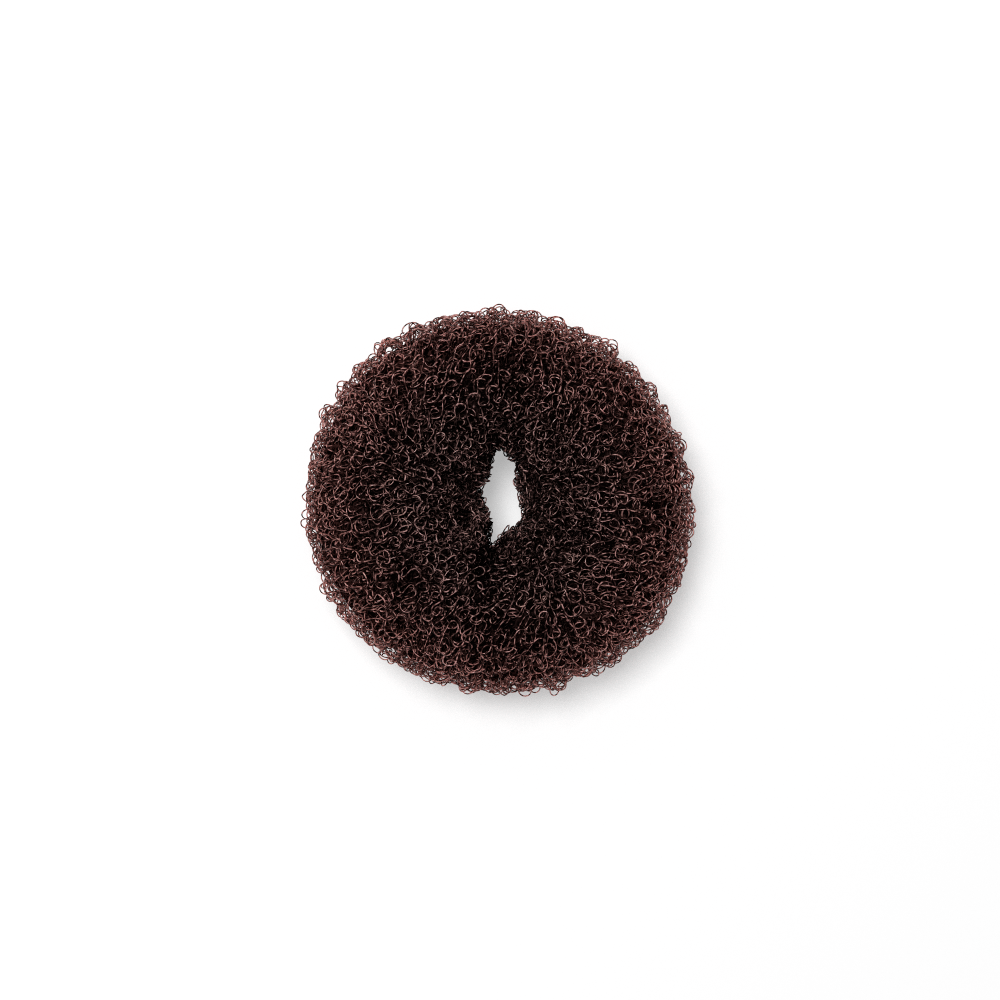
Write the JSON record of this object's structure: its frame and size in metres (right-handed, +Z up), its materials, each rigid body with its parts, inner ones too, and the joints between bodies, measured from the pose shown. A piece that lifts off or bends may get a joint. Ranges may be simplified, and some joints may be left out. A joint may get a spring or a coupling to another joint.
{
  "type": "hair donut bun maker",
  "caption": "Springy ring of rolled-up knitted nylon mesh with a narrow slit through its middle; a ponytail is drawn through it and spread over it to shape a full bun.",
  "frame": {"origin": "middle of the ring's underside, on the surface that it lies on", "axes": "+Z up along the axis of the ring, Y along the slit, with +Y towards the top of the picture"},
  "size_m": [0.08, 0.0782, 0.032],
  "materials": {
    "nylon_mesh": "dark brown crimped nylon filament, slightly shiny, knitted into an open springy mesh"
  },
  "bodies": {
    "root": {"rolled_mesh": "nylon_mesh"}
  },
  "joints": []
}
